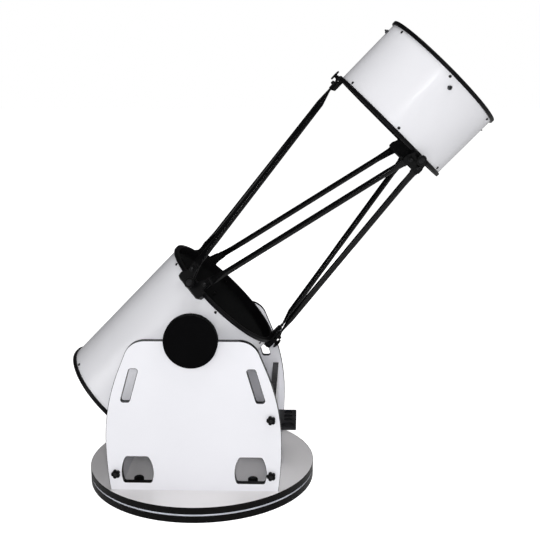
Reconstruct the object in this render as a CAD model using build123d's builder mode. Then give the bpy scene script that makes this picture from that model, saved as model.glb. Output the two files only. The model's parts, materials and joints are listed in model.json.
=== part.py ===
from build123d import *
import os
from math import cos, radians, sin

# Truss-tube Newtonian telescope on a rocker-box mount with a round turntable.
# Millimetres. The origin is on the floor under the azimuth pivot, +Z is up,
# +X is where the tube points, and the altitude axis runs along Y.
# "Right" is the -Y side and "left" is the +Y side.

# ---------------------------------------------------------------- driving sizes
base_radius = 425.0
base_board = 25.0            # thickness of the two round boards
board = 22.0                 # thickness of the upright boards
edge_band = 1.5              # thickness of the edging strip glued round a board
foot_height = 7.5
bearing_gap = 6.5            # between the ground board and the turntable
axis_above_turntable = 560.0
tilt = 45.8                  # elevation of the tube at rest, degrees
running = 0.05               # radial clearance of a turning or sliding fit
touch = 0.1                  # gap left between fixed neighbours

ground_bottom = foot_height
ground_top = ground_bottom + base_board
turn_bottom = ground_top + bearing_gap
turn_top = turn_bottom + base_board
axis_z = turn_top + axis_above_turntable

# tube assembly: places along the tube are counted from the altitude axis
tube_radius = 238.0
tube_wall = 2.0
lower_rear = -433.0
lower_front = 137.0
upper_rear = 976.0
upper_front = 1252.0
ring_radius = 245.0
ring_width = 14.0
ring_bore = 230.0
ring_sleeve = 32.0
ring_lip = 4.0
screw_inset = 22.0
screw_radius = 2.5
screw_hole_radius = screw_radius + running
screw_angles = range(0, 360, 60)

# side boards, heights counted from the turntable's top
side_outer = 289.0
side_inner = side_outer - board
side_height = 553.0
foot_half = 299.5
belly_half = 310.7
belly_height = 180.0
shoulder_half = 300.0
shoulder_height = 300.0
neck_half = 255.0
neck_height = 453.0
peak_half = 214.6
corner_radius = 75.0
opening_corner = 9.0

hub_radius = 74.0            # altitude bearing
pad_thickness = 6.0
cradle_radius = hub_radius + pad_thickness
puck_radius = 93.4
puck_outer = 330.4
puck_inner = side_outer + 4.0
hub_inner = 218.0

front_board_x = 264.0        # inner face
front_board_height = 299.0
stretcher_x = -266.0
stretcher_height = 90.0
side_knob_places = [(275.0, 59.5), (275.0, 269.0), (-277.0, 62.0)]
knob_stud = 3.0
knob_stud_depth = 34.0       # how far a stud reaches into a board's end

# truss: a bracket points up the tube (toward is 1) on the lower half and down it (-1) on the upper
truss_angles_lower = (30, 150, 270)
truss_angles_upper = (90, 210, 330)
tip_level = {1: 246.0, -1: 242.0}      # distance of a pole's flattened tip from the tube's axis
pivot_side = {1: 37.5, -1: 24.5}       # pole bolt to each side of the bracket's middle
pivot_out = 23.0                       # pole bolt beyond the tube's end
tip_thickness = 6.0
pole_radius = 11.0
bolt_level = {1: 256.0, -1: 248.0}     # seat of a pole bolt's head
bolt_length = {1: 16.0, -1: 20.0}
knob_level = {1: 256.0, -1: 253.0}     # seat of a truss knob
knob_back = {1: 9.0, -1: 0.0}          # truss knob behind the tube's end
knob_hub = {1: 16.0, -1: 7.5}          # height of a truss knob's disc above its seat

# optics
mirror_radius = 203.0
mirror_face = -345.0
mirror_thickness = 40.0
mirror_curve = 3658.0
cell_front = -401.0
cell_rim = 20.0
cell_plate = 12.0
tray_back = -395.0
tray_thickness = 6.0
tray_pad = 4.0
collimation_radius = 130.0
collimation_angles = (90, 210, 330)
spider_along = 1204.0
secondary_along = 1112.0
secondary_radius = 49.0
focuser_angle = 22.0


# ------------------------------------------------------------- reference planes
tube_dir = Vector(cos(radians(tilt)), 0, sin(radians(tilt)))
tube_plane = Plane(origin=(0, 0, axis_z), x_dir=(0, 1, 0), z_dir=tube_dir)
tube_section = Plane(origin=(0, 0, axis_z), x_dir=tube_dir, z_dir=(0, -1, 0))
tube_axis = Axis((0, 0, axis_z), tube_dir)


def outward(angle):
    """Direction away from the tube's axis; 0 is left (+Y) and 90 is the upper side."""
    return tube_plane.x_dir * cos(radians(angle)) + tube_plane.y_dir * sin(radians(angle))


def tube_point(along, angle, radius):
    return tube_plane.origin + tube_dir * along + outward(angle) * radius


def side_plane(along, angle, radius, toward=1):
    """Plane facing outward from the tube, its x along the tube (toward=-1 turns x round)."""
    return Plane(tube_point(along, angle, radius), x_dir=tube_dir * toward, z_dir=outward(angle))


def across(along):
    """Plane square to the tube's axis."""
    return Plane(tube_plane.origin + tube_dir * along, x_dir=(0, 1, 0), z_dir=tube_dir)


def right_side(offset):
    """Upright plane facing right, its x along +X and its y counted from the turntable's top."""
    return Plane((0, -offset, turn_top), x_dir=(1, 0, 0), z_dir=(0, -1, 0))


def turned(plane, outline):
    """Solid turned about a plane's normal from (radius, height) points."""
    section = Plane(plane.origin, x_dir=plane.x_dir, z_dir=-plane.y_dir)
    with BuildPart() as body:
        with BuildSketch(section):
            with BuildLine():
                Polyline(*outline, close=True)
            make_face()
        revolve(axis=Axis(plane.origin, plane.z_dir))
    return body.part


def button_screw(plane, head, shank, length):
    """Dome-headed screw whose head sits on the plane."""
    dome = [(0, -length), (shank, -length), (shank, 0), (head, 0), (head, 0.5 * head - 1)]
    return turned(plane, dome + [(0.6 * head, 0.55 * head), (0, 0.6 * head)])


# ------------------------------------------------------------------ ground board
feet_circle = 350.0
foot_radius = 28.0
foot_bevel = 0.5
pivot_radius = 6.0
pivot_head = 14.0
pivot_head_height = 6.0
pivot_rise = 18.0            # how far the bolt stands above the turntable
washer_radius = 15.0
washer_thickness = 3.0
nut_flats = 9.5
nut_height = 9.0
recess_radius = 16.0
recess_depth = 8.0

with BuildPart() as ground_board:
    with BuildSketch(Plane.XY.offset(ground_bottom)):
        Circle(base_radius - edge_band)
    extrude(amount=base_board)
    with BuildSketch(Plane.XY.offset(ground_bottom)):
        Circle(recess_radius)
    extrude(amount=recess_depth, mode=Mode.SUBTRACT)
    with BuildSketch(Plane.XY.offset(ground_bottom)):
        Circle(pivot_radius + running)
    extrude(amount=base_board, mode=Mode.SUBTRACT)

with BuildPart() as ground_board_edge:
    with BuildSketch(Plane.XY.offset(ground_bottom)):
        Circle(base_radius)
        Circle(base_radius - edge_band, mode=Mode.SUBTRACT)
    extrude(amount=base_board)

foot_outline = [
    (0, 0), (foot_radius - foot_bevel, 0), (foot_radius, foot_bevel), (foot_radius, foot_height),
    (0, foot_height),
]
foot_planes = [Plane(location) for location in PolarLocations(feet_circle, 3, start_angle=60)]
foot_parts = [turned(plane, foot_outline) for plane in foot_planes]
with BuildPart() as feet:
    add(foot_parts)

head_top = ground_bottom + recess_depth
with BuildPart() as pivot_bolt:
    with BuildSketch(Plane.XY.offset(head_top)):
        Circle(pivot_head)
    extrude(amount=-pivot_head_height)
    fillet(pivot_bolt.edges().group_by(Axis.Z)[0], 2.5)
    with BuildSketch(Plane.XY.offset(head_top)):
        Circle(pivot_radius)
    extrude(amount=turn_top + pivot_rise - head_top)
    chamfer(pivot_bolt.edges().group_by(Axis.Z)[-1], 1)

with BuildPart() as pivot_nut:
    with BuildSketch(Plane.XY.offset(turn_top + touch)):
        Circle(washer_radius)
    extrude(amount=washer_thickness)
    with BuildSketch(Plane.XY.offset(turn_top + touch + washer_thickness)):
        RegularPolygon(radius=nut_flats, side_count=6, major_radius=False)
    extrude(amount=nut_height)
    with BuildSketch(Plane.XY.offset(turn_top)):
        Circle(pivot_radius + running)
    extrude(amount=pivot_rise, mode=Mode.SUBTRACT)

# --------------------------------------------------------------- azimuth bearing
race_thickness = 1.2
race_inner = 376.0
race_outer = 408.0
roller_slack = 0.02
roller_radius = (bearing_gap - 2 * race_thickness) / 2 - roller_slack
roller_length = 24.0
roller_count = 24
roller_circle = (race_inner + race_outer) / 2
gap_middle = ground_top + bearing_gap / 2
cage_inner = 370.0
cage_outer = 421.0
cage_rim = 9.0
cage_web = 3.0
cage_rim_height = 5.5
pocket_slack = 0.2

with BuildPart() as lower_race:
    with BuildSketch(Plane.XY.offset(ground_top)):
        Circle(race_outer)
        Circle(race_inner, mode=Mode.SUBTRACT)
    extrude(amount=race_thickness)

with BuildPart() as upper_race:
    with BuildSketch(Plane.XY.offset(turn_bottom - race_thickness)):
        Circle(race_outer)
        Circle(race_inner, mode=Mode.SUBTRACT)
    extrude(amount=race_thickness)

with BuildPart() as roller_cage:
    with BuildSketch(Plane.XY.offset(gap_middle - cage_web / 2)):
        Circle(cage_outer - cage_rim / 2)
        Circle(cage_inner, mode=Mode.SUBTRACT)
        with PolarLocations(roller_circle, roller_count):
            Rectangle(
                roller_length + pocket_slack, 2 * roller_radius + pocket_slack, mode=Mode.SUBTRACT
            )
    extrude(amount=cage_web)
    with BuildSketch(Plane.XY.offset(gap_middle - cage_rim_height / 2)):
        Circle(cage_outer)
        Circle(cage_outer - cage_rim, mode=Mode.SUBTRACT)
    extrude(amount=cage_rim_height)

with BuildPart(Plane.XY.offset(gap_middle)) as rollers:
    with PolarLocations(roller_circle, roller_count):
        Cylinder(roller_radius, roller_length, rotation=(0, 90, 0))

# --------------------------------------------------------------------- turntable
bracket_x = 206.0
bracket_y = 240.0
insert_places = [(x, y) for x in (-bracket_x, bracket_x) for y in (-bracket_y, bracket_y)]

with BuildPart() as turntable_board:
    with BuildSketch(Plane.XY.offset(turn_bottom)):
        Circle(base_radius - edge_band)
        Circle(pivot_radius + running, mode=Mode.SUBTRACT)
        with Locations(*insert_places):
            Circle(knob_stud + running, mode=Mode.SUBTRACT)
    extrude(amount=base_board)

# ------------------------------------------------------------------- side boards
with BuildSketch() as side_shape:
    with BuildLine():
        for side in (-1, 1):
            flank = ThreePointArc(
                (side * belly_half, belly_height),
                (side * shoulder_half, shoulder_height),
                (side * neck_half, neck_height),
            )
            TangentArc(flank @ 0, (side * foot_half, 0), tangent=-(flank % 0))
            Line((side * neck_half, neck_height), (side * peak_half, side_height))
            Line((side * foot_half, 0), (side * foot_half, -board))
        Line((-peak_half, side_height), (peak_half, side_height))
        Line((-foot_half, -board), (foot_half, -board))
    make_face()
    fillet(side_shape.vertices().group_by(Axis.Y)[-1], corner_radius)

with BuildSketch() as side_openings:
    for side in (-1, 1):
        with BuildLine():
            Polyline(
                (side * 187, 452), (side * 219.5, 452),
                (side * 255, 329), (side * 222.5, 329), close=True,
            )
        make_face()
        with BuildLine():
            Line((side * 163, 126), (side * 241, 126))
            ThreePointArc((side * 241, 126), (side * 256, 76), (side * 250, 28))
            Line((side * 250, 28), (side * 152.5, 28))
            ThreePointArc((side * 152.5, 28), (side * 145.5, 74), (side * 163, 126))
        make_face()
    fillet(side_openings.vertices(), opening_corner)

inner_shape = offset(side_shape.sketch, amount=-edge_band)
wide_openings = offset(side_openings.sketch, amount=edge_band)

with BuildSketch() as side_face:
    add(inner_shape)
    add(wide_openings, mode=Mode.SUBTRACT)
    with Locations((0, axis_above_turntable)):
        Circle(cradle_radius, mode=Mode.SUBTRACT)
    with Locations(*side_knob_places):
        Circle(knob_stud + running, mode=Mode.SUBTRACT)
    with Locations((0, side_height)):
        Rectangle(4 * base_radius, 2 * side_height, mode=Mode.INTERSECT)

with BuildSketch() as side_band_face:
    add(side_shape.sketch)
    add(inner_shape, mode=Mode.SUBTRACT)
    add(wide_openings)
    add(side_openings.sketch, mode=Mode.SUBTRACT)
    with Locations((0, axis_above_turntable)):
        Circle(cradle_radius, mode=Mode.SUBTRACT)
    with Locations((0, side_height)):
        Rectangle(4 * base_radius, 2 * side_height, mode=Mode.INTERSECT)

wood_screw = 2.0             # radius of the screws driven into the boards
leg_screw_height = 14.0
leg_screw_aside = 20.0
leg_screw_places = []
for middle in (-bracket_x, bracket_x):
    for aside in (-leg_screw_aside, leg_screw_aside):
        leg_screw_places.append((middle + aside, leg_screw_height))
leg_screw_depth = 14.0

with BuildPart() as side_board_right:
    with BuildSketch(right_side(side_inner)):
        add(side_face.sketch)
    extrude(amount=board)
    with BuildSketch(right_side(side_inner)):
        with Locations(*leg_screw_places):
            Circle(wood_screw + running)
    extrude(amount=leg_screw_depth, mode=Mode.SUBTRACT)

with BuildPart() as side_board_left:
    with BuildSketch(right_side(-side_outer)):
        add(side_face.sketch)
    extrude(amount=board)
    with BuildSketch(right_side(-side_inner)):
        with Locations(*leg_screw_places):
            Circle(wood_screw + running)
    extrude(amount=-leg_screw_depth, mode=Mode.SUBTRACT)

# ---------------------------------------------------------- boards between the sides
rack_screw_places = [(-70, 136), (0, 136), (70, 136)]
front_plane = Plane((front_board_x, 0, turn_top), x_dir=(0, 1, 0), z_dir=(1, 0, 0))
rear_plane = Plane((stretcher_x - board, 0, turn_top), x_dir=(0, 1, 0), z_dir=(1, 0, 0))


def cross_board(plane, height, knob_places, face_screws=()):
    """Board between the sides, with stud holes in its ends and screw holes in its front."""
    with BuildPart() as body:
        with BuildSketch(plane):
            with Locations((0, height / 2)):
                Rectangle(2 * side_inner, height)
        extrude(amount=board)
        for start, sense in ((side_inner, -1), (-side_inner, 1)):
            with BuildSketch(right_side(start)):
                with Locations(*knob_places):
                    Circle(knob_stud + running)
            extrude(amount=sense * knob_stud_depth, mode=Mode.SUBTRACT)
        for place in face_screws:
            with BuildSketch(plane.offset(board)):
                with Locations(place):
                    Circle(wood_screw + running)
            extrude(amount=-leg_screw_depth, mode=Mode.SUBTRACT)
    return body


front_board = cross_board(
    front_plane, front_board_height - edge_band, side_knob_places[:2], rack_screw_places
)
rear_stretcher = cross_board(rear_plane, stretcher_height - edge_band, side_knob_places[2:])
rack_face = front_plane.offset(board)

with BuildPart() as board_edge_bands:
    for start in (side_inner, -side_outer):
        with BuildSketch(right_side(start)):
            add(side_band_face.sketch)
        extrude(amount=board)
    for plane, height in ((front_plane, front_board_height), (rear_plane, stretcher_height)):
        with BuildSketch(plane):
            with Locations((0, height - edge_band / 2)):
                Rectangle(2 * side_inner, edge_band)
        extrude(amount=board)
    with BuildSketch(Plane.XY.offset(turn_bottom)):
        Circle(base_radius)
        Circle(base_radius - edge_band, mode=Mode.SUBTRACT)
    extrude(amount=base_board)

# ------------------------------------------------------------------ angle brackets
angle_width = 64.0
angle_foot = 50.0
angle_leg = 24.0
angle_plate = 4.0

with BuildPart() as base_brackets:
    for x, y in insert_places:
        side = 1 if y > 0 else -1
        corner = Plane((x, side * side_inner, turn_top), x_dir=(0, -side, 0), z_dir=(-side, 0, 0))
        with BuildSketch(corner):
            with BuildLine():
                Polyline(
                    (0, 0), (angle_foot, 0), (angle_foot, angle_plate), (angle_plate, angle_plate),
                    (angle_plate, angle_leg), (0, angle_leg), close=True,
                )
            make_face()
        extrude(amount=angle_width / 2, both=True)
    with BuildSketch(Plane.XY.offset(turn_top)):
        with Locations(*insert_places):
            Circle(knob_stud + running)
    extrude(amount=angle_plate, mode=Mode.SUBTRACT)
    with BuildSketch(right_side(side_inner)):
        with Locations(*leg_screw_places):
            Circle(wood_screw + running)
    extrude(amount=-2 * side_inner, mode=Mode.SUBTRACT)

# ------------------------------------------------------------------- eyepiece rack
rack_top = 162.0
rack_reach = 74.0
rack_half = 95.0
rack_thickness = 8.5
rack_corner = 6.0
flange_height = 34.0
flange_thickness = 3.0
well_depth = 7.0
small_well = 16.0
large_well = 25.7
small_places = (-8.0, 30.0, 68.0)
large_place = -64.0
well_x = front_board_x + board + 43.0

with BuildPart() as eyepiece_rack:
    with BuildSketch(Plane.XY.offset(turn_top + rack_top)):
        with Locations((front_board_x + board + rack_reach / 2, 0)):
            Rectangle(rack_reach, 2 * rack_half)
    extrude(amount=-rack_thickness)
    outer_corners = eyepiece_rack.edges().filter_by(Axis.Z).group_by(Axis.X)[-1]
    fillet(outer_corners, rack_corner)
    with BuildSketch(rack_face):
        with Locations((0, rack_top - rack_thickness - flange_height / 2)):
            Rectangle(2 * rack_half, flange_height)
    extrude(amount=flange_thickness)
    with BuildSketch(Plane.XY.offset(turn_top + rack_top)):
        with Locations(*[(well_x, y) for y in small_places]):
            Circle(small_well)
        with Locations((well_x, large_place)):
            Circle(large_well)
    extrude(amount=-well_depth, mode=Mode.SUBTRACT)
    with BuildSketch(rack_face):
        with Locations(*rack_screw_places):
            Circle(wood_screw + running)
    extrude(amount=flange_thickness, mode=Mode.SUBTRACT)

base_screw_planes = []
for x, z in leg_screw_places:
    for side in (-1, 1):
        seat = (x, side * (side_inner - angle_plate), turn_top + z)
        base_screw_planes.append(Plane(seat, x_dir=(1, 0, 0), z_dir=(0, -side, 0)))
for y, z in rack_screw_places:
    seat = (front_board_x + board + flange_thickness, y, turn_top + z)
    base_screw_planes.append(Plane(seat, x_dir=(0, 1, 0), z_dir=(1, 0, 0)))
base_screw_parts = [button_screw(plane, 4.5, wood_screw, 16) for plane in base_screw_planes]
with BuildPart() as base_screws:
    add(base_screw_parts)

# ---------------------------------------------------------------------- hand knobs
star_radius = 16.5
lobe_radius = 5.0
star_height = 14.0


def star_knob(plane, stud_length):
    """Five-lobed hand knob with a stud, resting on the plane."""
    with BuildPart() as body:
        with BuildSketch(plane.offset(2)):
            Circle(11)
            with PolarLocations(star_radius - lobe_radius, 5, start_angle=180):
                Circle(lobe_radius)
        extrude(amount=star_height)
        chamfer(body.faces().sort_by(Axis(plane.origin, plane.z_dir))[-1].edges(), 1.5)
        with BuildSketch(plane):
            Circle(8)
        extrude(amount=2)
        with BuildSketch(plane):
            Circle(knob_stud)
        extrude(amount=-stud_length)
    return body.part


side_knob_planes = []
for x, z in side_knob_places:
    for side in (-1, 1):
        seat = (x, side * side_outer, turn_top + z)
        side_knob_planes.append(Plane(seat, x_dir=(1, 0, 0), z_dir=(0, side, 0)))
side_knob_parts = [star_knob(plane, board + knob_stud_depth - 2) for plane in side_knob_planes]
with BuildPart() as side_knobs:
    add(side_knob_parts)

round_knob = [(0, -24), (knob_stud, -24), (knob_stud, 0), (9, 0), (9, 6), (18, 8)]
round_knob += [(18, 21), (15, 25), (6, 25.5), (0, 25.5)]
bracket_knob_parts = [
    turned(Plane((x, y, turn_top + angle_plate)), round_knob) for x, y in insert_places
]
with BuildPart() as bracket_knobs:
    add(bracket_knob_parts)

# -------------------------------------------------------------- altitude bearings
pad_half_angle = 13.0
pad_angles = (-132.0, -48.0)

with BuildSketch() as pad_face:
    for middle in pad_angles:
        first_angle = middle - pad_half_angle
        with BuildLine():
            inner_arc = CenterArc((0, 0), hub_radius + running, first_angle, 2 * pad_half_angle)
            outer_arc = CenterArc((0, 0), cradle_radius, first_angle, 2 * pad_half_angle)
            Line(inner_arc @ 0, outer_arc @ 0)
            Line(inner_arc @ 1, outer_arc @ 1)
        make_face()

with BuildPart() as cradle_pads:
    for start in (side_inner, -side_outer):
        seat = Plane((0, -start, axis_z), x_dir=(1, 0, 0), z_dir=(0, -1, 0))
        with BuildSketch(seat):
            add(pad_face.sketch)
        extrude(amount=board)


def trunnion(side):
    """Hub that turns in the cradle and the wider puck outside it; side is 1 left, -1 right."""
    hub_plane = Plane((0, 0, axis_z), x_dir=(1, 0, 0), z_dir=(0, side, 0))
    outline = [
        (0, hub_inner), (hub_radius, hub_inner), (hub_radius, puck_inner), (puck_radius, puck_inner),
        (puck_radius, puck_outer - 4), (puck_radius - 1.2, puck_outer - 1.2),
        (puck_radius - 4, puck_outer), (puck_radius - 10, puck_outer),
        (puck_radius - 11, puck_outer - 1), (0, puck_outer - 1),
    ]
    disc = turned(hub_plane, outline)
    with BuildPart() as body:
        add(disc)
        with BuildSketch(across(-2 * hub_radius)):
            Circle(tube_radius + touch / 2)
        extrude(amount=4 * hub_radius, mode=Mode.SUBTRACT)
        with BuildSketch(*trunnion_screw_planes(side)):
            Circle(screw_hole_radius)
        extrude(amount=18, both=True, mode=Mode.SUBTRACT)
    return body


def trunnion_screw_planes(side):
    """Screws go outward through the tube wall; their heads are inside the tube."""
    angle = 0 if side > 0 else 180
    inside = tube_radius - tube_wall - touch
    planes = []
    for along in (-48, 48):
        seat = tube_point(along, angle, inside)
        planes.append(Plane(seat, x_dir=tube_dir, z_dir=-outward(angle)))
    return planes


trunnion_left = trunnion(1)
trunnion_right = trunnion(-1)

# -------------------------------------------------------------------------- tubes


def tube_shell(rear, front, holes):
    """Rolled tube with holes given as (planes, radius), each cut inward and outward of its plane."""
    with BuildPart() as body:
        with BuildSketch(across(rear + ring_lip + touch)):
            Circle(tube_radius)
            Circle(tube_radius - tube_wall, mode=Mode.SUBTRACT)
        extrude(amount=front - rear - 2 * (ring_lip + touch))
        for planes, radius in holes:
            with BuildSketch(*planes):
                Circle(radius)
            extrude(amount=30, both=True, mode=Mode.SUBTRACT)
    return body


def ring_screw_planes(end, inward):
    """Seats of the screws through a tube and its end ring."""
    along = end + inward * screw_inset
    return [side_plane(along, angle, tube_radius + touch) for angle in screw_angles]


def end_ring(end, inward):
    """Channel ring over a tube's end; inward is 1 at a rear end and -1 at a front end."""
    outline = [
        (0, ring_bore), (0, ring_radius), (ring_width, ring_radius), (ring_width, tube_radius + touch),
        (ring_lip, tube_radius + touch), (ring_lip, tube_radius - tube_wall - touch),
        (ring_sleeve, tube_radius - tube_wall - touch), (ring_sleeve, ring_bore),
    ]
    with BuildPart() as body:
        with BuildSketch(tube_section):
            with BuildLine():
                Polyline(*[(end + inward * x, y) for x, y in outline], close=True)
            make_face()
        revolve(axis=tube_axis)
        rim_edges = body.edges().filter_by(GeomType.CIRCLE).group_by(SortBy.RADIUS)[-1]
        fillet(rim_edges, 3)
        with BuildSketch(*ring_screw_planes(end, inward)):
            Circle(screw_hole_radius)
        extrude(amount=-12, mode=Mode.SUBTRACT)
    return body


rings = [(lower_rear, 1), (lower_front, -1), (upper_rear, 1), (upper_front, -1)]
ring_screws = [ring_screw_planes(end, inward) for end, inward in rings]
spider_start = 6.0           # the vanes are turned a little from the upright
spider_angles = [spider_start + quarter for quarter in (0, 90, 180, 270)]
spider_planes = [side_plane(spider_along, angle, tube_radius) for angle in spider_angles]
focuser_planes = [side_plane(secondary_along, focuser_angle, tube_radius)]
focuser_hole = 32.0

lower_holes = [(planes, screw_hole_radius) for planes in ring_screws[:2]]
lower_holes += [(trunnion_screw_planes(side), screw_hole_radius) for side in (-1, 1)]
lower_tube = tube_shell(lower_rear, lower_front, lower_holes)

upper_holes = [(planes, screw_hole_radius) for planes in ring_screws[2:]]
upper_holes += [(spider_planes, screw_hole_radius), (focuser_planes, focuser_hole)]
upper_tube = tube_shell(upper_rear, upper_front, upper_holes)

lower_tube_rear_ring = end_ring(lower_rear, 1)
lower_tube_front_ring = end_ring(lower_front, -1)
upper_tube_rear_ring = end_ring(upper_rear, 1)
upper_tube_front_ring = end_ring(upper_front, -1)

tube_screw_planes = [plane for planes in ring_screws for plane in planes]
tube_screw_planes += trunnion_screw_planes(-1) + trunnion_screw_planes(1)
tube_screw_parts = [button_screw(plane, 5, screw_radius, 14) for plane in tube_screw_planes]
with BuildPart() as tube_screws:
    add(tube_screw_parts)

# ------------------------------------------------------------------ truss brackets
# Plans give (beyond the tube's end, aside) for one half; profiles give (beyond the tube's end,
# distance from the tube's axis). Both are keyed like the sizes above.
bracket_plan = {
    1: [(-34, 49), (-27, 58), (-12, 61), (-5, 57), (3, 48), (34, 48), (40, 43), (40, 27), (8, 13)],
    -1: [(-14, 32), (-8, 38), (6, 38), (22, 46), (37, 46), (45, 38)],
}
bracket_profile = {
    1: [(-34, 222), (-34, 249), (-28, 256), (32, 256), (40, 253), (40, 238), (0, 238), (0, 222)],
    -1: [(-14, 226), (-14, 246), (-5, 253), (3, 253), (13, 248), (45, 248), (45, 237), (39, 227)],
}
bracket_low = 222.0
bracket_high = 257.0
slot_start = 6.0
slot_width = tip_thickness + 2 * touch
bolt_radius = 4.0
knob_hole_bottom = ring_radius + 1.5
bracket_sites = [(lower_front, angle, 1) for angle in truss_angles_lower]
bracket_sites += [(upper_rear, angle, -1) for angle in truss_angles_upper]


def bracket_blank(end, angle, toward):
    """Casting before the tube, the slot and the holes are cut out of it."""
    half_plan = bracket_plan[toward]
    plan = half_plan + [(x, -y) for x, y in reversed(half_plan)]
    web = Plane(
        tube_plane.origin + tube_dir * end, x_dir=tube_dir * toward,
        z_dir=(tube_dir * toward).cross(outward(angle)),
    )
    with BuildPart() as body:
        with BuildSketch(web):
            Polygon(*bracket_profile[toward], align=None)
        extrude(amount=tube_radius, both=True)
        with BuildSketch(side_plane(end, angle, bracket_low, toward)):
            Polygon(*plan, align=None)
        extrude(amount=bracket_high - bracket_low, mode=Mode.INTERSECT)
    return body.part


bracket_blanks = [bracket_blank(*site) for site in bracket_sites]
with BuildPart() as truss_brackets:
    add(bracket_blanks)
    for end, toward in ((lower_front, 1), (upper_rear, -1)):
        envelope = [
            (-3 * ring_width, 0), (-3 * ring_width, tube_radius + touch),
            (-ring_width - touch, tube_radius + touch), (-ring_width - touch, ring_radius + touch),
            (touch, ring_radius + touch), (touch, 0),
        ]
        with BuildSketch(tube_section):
            with BuildLine():
                Polyline(*[(end + toward * x, y) for x, y in envelope], close=True)
            make_face()
        revolve(axis=tube_axis, mode=Mode.SUBTRACT)
    for end, angle, toward in bracket_sites:
        with BuildSketch(side_plane(end, angle, tip_level[toward] - slot_width / 2, toward)):
            with Locations((slot_start + base_radius / 2, 0)):
                Rectangle(base_radius, base_radius)
        extrude(amount=slot_width, mode=Mode.SUBTRACT)
        bolt_places = [(pivot_out, side * pivot_side[toward]) for side in (-1, 1)]
        with BuildSketch(side_plane(end, angle, bracket_low, toward)):
            with Locations(*bolt_places):
                Circle(bolt_radius + running)
        extrude(amount=bracket_high - bracket_low, mode=Mode.SUBTRACT)
        with BuildSketch(side_plane(end, angle, knob_hole_bottom, toward)):
            with Locations((-knob_back[toward], 0)):
                Circle(knob_stud + running)
        extrude(amount=bracket_high - bracket_low, mode=Mode.SUBTRACT)

# ---------------------------------------------------------------------- truss poles
eye_radius = 15.0
flat_length = 28.0
blend_length = 84.0


def pivot(end, angle, toward, side):
    """Middle of a pole's flattened tip; side is the sense round the tube from the bracket's middle."""
    plane = side_plane(end, angle, tip_level[toward], toward)
    aside = plane.z_dir.cross(tube_dir) * side * pivot_side[toward]
    return plane.origin + tube_dir * toward * pivot_out + aside


def pole_end(place, normal, run):
    """Flattened tip lying square to normal at place, and its blend into the round pole along run."""
    flat_run = (run - normal * run.dot(normal)).normalized()
    tip_plane = Plane(place - normal * tip_thickness / 2, x_dir=flat_run, z_dir=normal)
    flat_end = place + flat_run * flat_length
    wide = normal.cross(flat_run)
    with BuildPart() as body:
        with BuildSketch(Plane(flat_end, x_dir=wide, z_dir=flat_run)):
            Ellipse(eye_radius, tip_thickness / 2)
        with BuildSketch(Plane(place + run * blend_length, x_dir=wide, z_dir=run)):
            Circle(pole_radius)
        loft()
        with BuildSketch(tip_plane):
            Circle(eye_radius)
            with Locations((flat_length / 2, 0)):
                Rectangle(flat_length, 2 * eye_radius)
        extrude(amount=tip_thickness)
        with BuildSketch(tip_plane):
            Circle(bolt_radius + running)
        extrude(amount=tip_thickness, mode=Mode.SUBTRACT)
    return body.part


def truss_pole(lower_angle, upper_angle, side):
    """Pole from a lower bracket to an upper one; side is the sense round the tube it leans."""
    start = pivot(lower_front, lower_angle, 1, -side)
    finish = pivot(upper_rear, upper_angle, -1, side)
    run = (finish - start).normalized()
    first_end = pole_end(start, outward(lower_angle), run)
    last_end = pole_end(finish, outward(upper_angle), -run)
    length = (finish - start).length
    with BuildPart() as body:
        with BuildSketch(Plane(start + run * blend_length, x_dir=outward(lower_angle), z_dir=run)):
            Circle(pole_radius)
        extrude(amount=length - 2 * blend_length)
        add(first_end)
        add(last_end)
    return body.part


pole_parts = []
for lower_angle in truss_angles_lower:
    for side in (-1, 1):
        pole_parts.append(truss_pole(lower_angle, lower_angle + side * 60, side))
with BuildPart() as truss_poles:
    add(pole_parts)

pole_bolt_parts = []
for end, angle, toward in bracket_sites:
    bolt_outline = [
        (0, -bolt_length[toward]), (bolt_radius, -bolt_length[toward]), (bolt_radius, 0), (8, 0),
        (8, 1.2), (6.8, 1.6), (6.8, 5), (5.8, 6), (0, 6),
    ]
    for side in (-1, 1):
        place = pivot(end, angle, toward, side)
        seat = place + outward(angle) * (bolt_level[toward] - tip_level[toward])
        pole_bolt_parts.append(turned(Plane(seat, x_dir=tube_dir, z_dir=outward(angle)), bolt_outline))
with BuildPart() as pole_bolts:
    add(pole_bolt_parts)


def truss_knob(end, angle, toward):
    """Thin hand knob on a hub, its stud reaching into the bracket."""
    hub = knob_hub[toward]
    outline = [
        (0, -6), (knob_stud, -6), (knob_stud, touch), (8, touch), (8, 1.5), (6.5, 3), (6.5, hub - 1.5),
        (9, hub), (18, hub), (19, hub + 1), (19, hub + 5), (18, hub + 6), (12, hub + 6.5),
        (11, hub + 5.5), (0, hub + 5.5),
    ]
    solid = turned(side_plane(end - toward * knob_back[toward], angle, knob_level[toward]), outline)
    with BuildPart() as body:
        add(solid)
    return body


truss_knobs = [truss_knob(*site) for site in bracket_sites]

# ----------------------------------------------------------------- primary mirror
cell_outer = ring_bore - touch
fan_opening = 42.0
fan_plate = 52.0
spoke_width = 34.0
collimation_stud = 3.0
tray_front = tray_back + tray_thickness
mirror_back = mirror_face - mirror_thickness

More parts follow.
